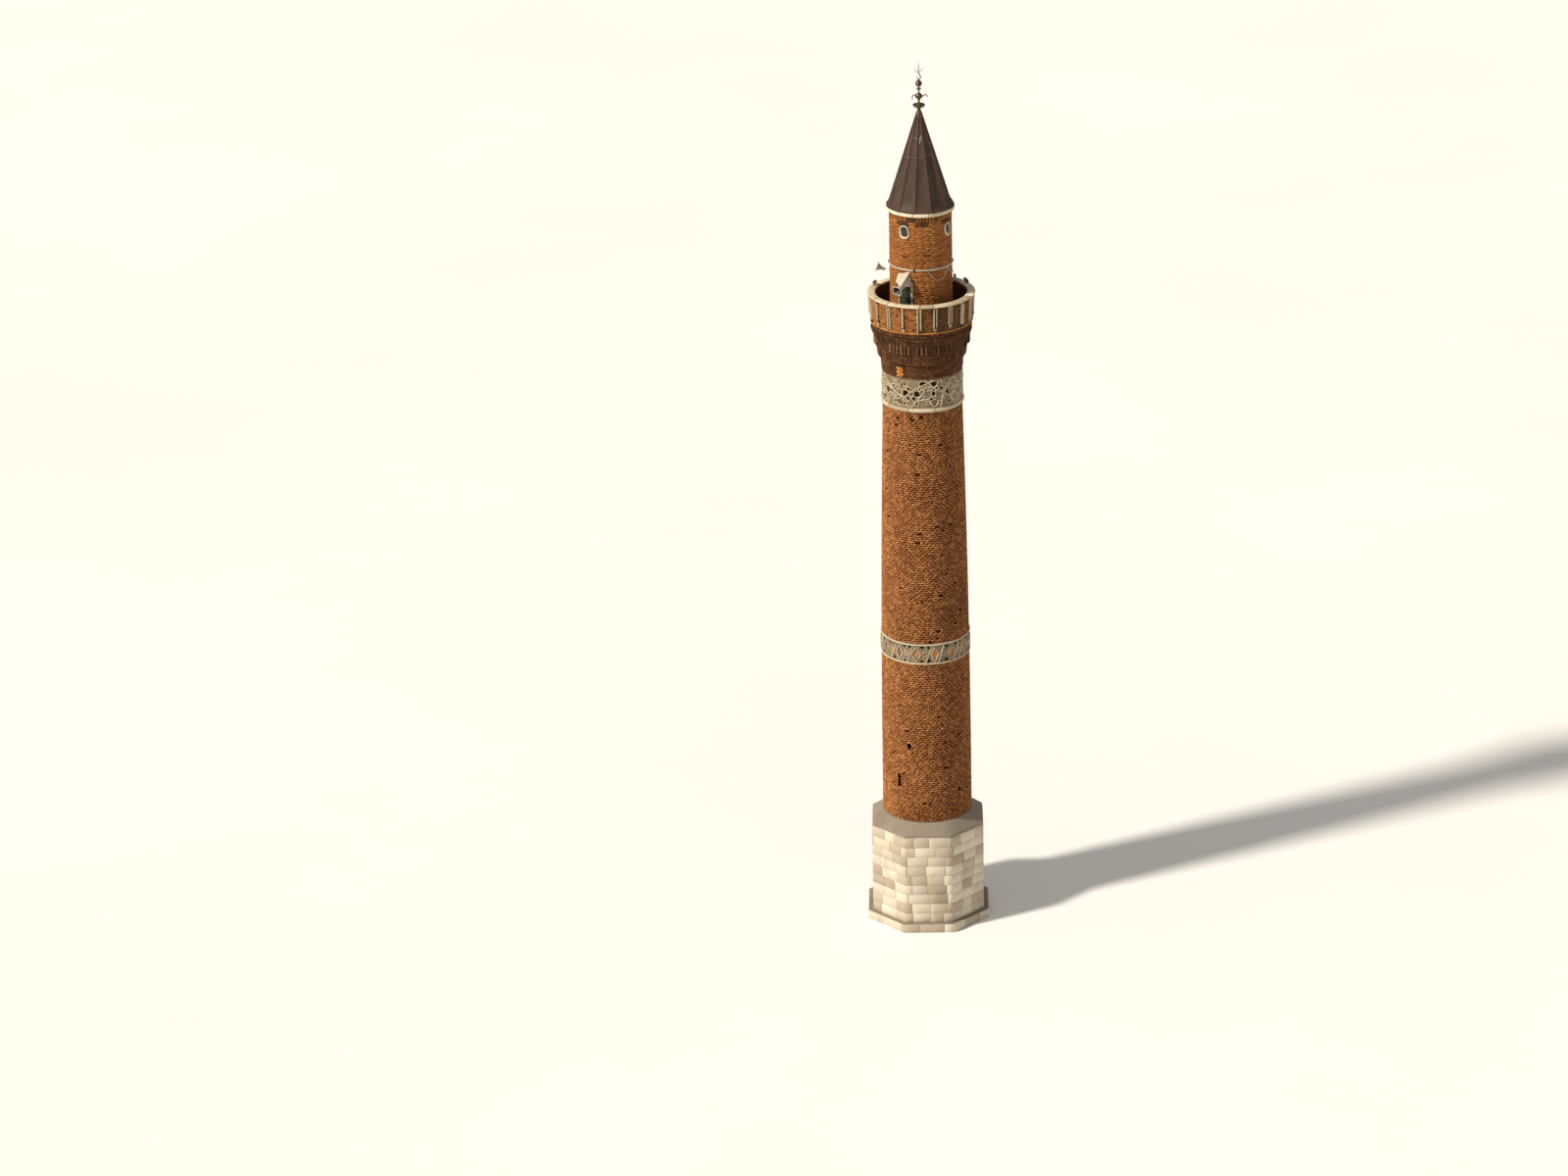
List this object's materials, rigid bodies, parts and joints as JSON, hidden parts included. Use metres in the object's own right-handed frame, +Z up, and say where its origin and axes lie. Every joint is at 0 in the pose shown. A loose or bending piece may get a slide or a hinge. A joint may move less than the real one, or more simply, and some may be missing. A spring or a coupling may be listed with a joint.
{
  "type": "minaret",
  "caption": "Round brick minaret on an octagonal stone foot, with inlaid bands, a corbelled balcony, a windowed drum and a faceted cone roof",
  "frame": {"origin": "centre of the flat underside of the octagonal foundation plinth, on the tower's axis", "axes": "+Z up the tower; -Y is the side with the balcony door, a little to the left of it; +Y is the side with the doorway at the foot; +X to the right"},
  "size_m": [4.8, 4.8, 35],
  "materials": {
    "cut_stone": "matt, tooled and weathered",
    "orange_brick": "matt fired clay with raked joints",
    "dark_brick": "matt fired clay, darkened",
    "pale_stone": "matt, weathered",
    "roof_sheet": "dull weathered sheet",
    "dark_bronze": "darkened, worn bright on edges",
    "grey_sheet": "dull galvanised sheet",
    "green_paint": "worn gloss paint",
    "grey_plastic": "matt, dusty",
    "black_plastic": "satin"
  },
  "bodies": {
    "root": {"foundation_plinth": "cut_stone", "base_wall_front": "cut_stone", "base_wall_left": "cut_stone", "base_wall_right": "cut_stone", "base_jamb_left": "cut_stone", "base_jamb_right": "cut_stone", "base_door_arch": "cut_stone", "octagon_to_round_collar": "cut_stone", "lower_shaft_front": "orange_brick", "lower_shaft_right": "orange_brick", "lower_shaft_back": "orange_brick", "lower_shaft_left": "orange_brick", "lower_inscription_band": "pale_stone", "upper_shaft_front": "orange_brick", "upper_shaft_right": "orange_brick", "upper_shaft_back": "orange_brick", "upper_shaft_left": "orange_brick", "band_ring_moulding": "pale_stone", "upper_lattice_band": "pale_stone", "corbel_lower_tier": "dark_brick", "corbel_middle_tier": "dark_brick", "corbel_upper_tier": "dark_brick", "balcony_deck": "cut_stone", "parapet_front_left": "orange_brick", "parapet_front_right": "orange_brick", "parapet_back_right": "orange_brick", "parapet_back_left": "orange_brick", "parapet_coping": "pale_stone", "drum_wall_door_side": "orange_brick", "drum_wall_right": "orange_brick", "drum_wall_back": "orange_brick", "drum_wall_left": "orange_brick", "oculus_door_side": "pale_stone", "oculus_right": "pale_stone", "oculus_back": "pale_stone", "oculus_left": "pale_stone", "door_frame": "pale_stone", "balcony_door": "green_paint", "door_hood": "grey_sheet", "drum_strap": "grey_sheet", "drum_cornice": "pale_stone", "cone_roof": "roof_sheet", "finial_dish": "dark_bronze", "finial_flower_ball": "dark_bronze", "finial_upper_ball": "dark_bronze", "finial_crescent": "dark_bronze", "loudspeaker_front": "grey_plastic", "loudspeaker_back": "grey_plastic", "floodlight_right": "black_plastic", "floodlight_left": "black_plastic", "floodlight_back": "black_plastic"}
  },
  "joints": []
}
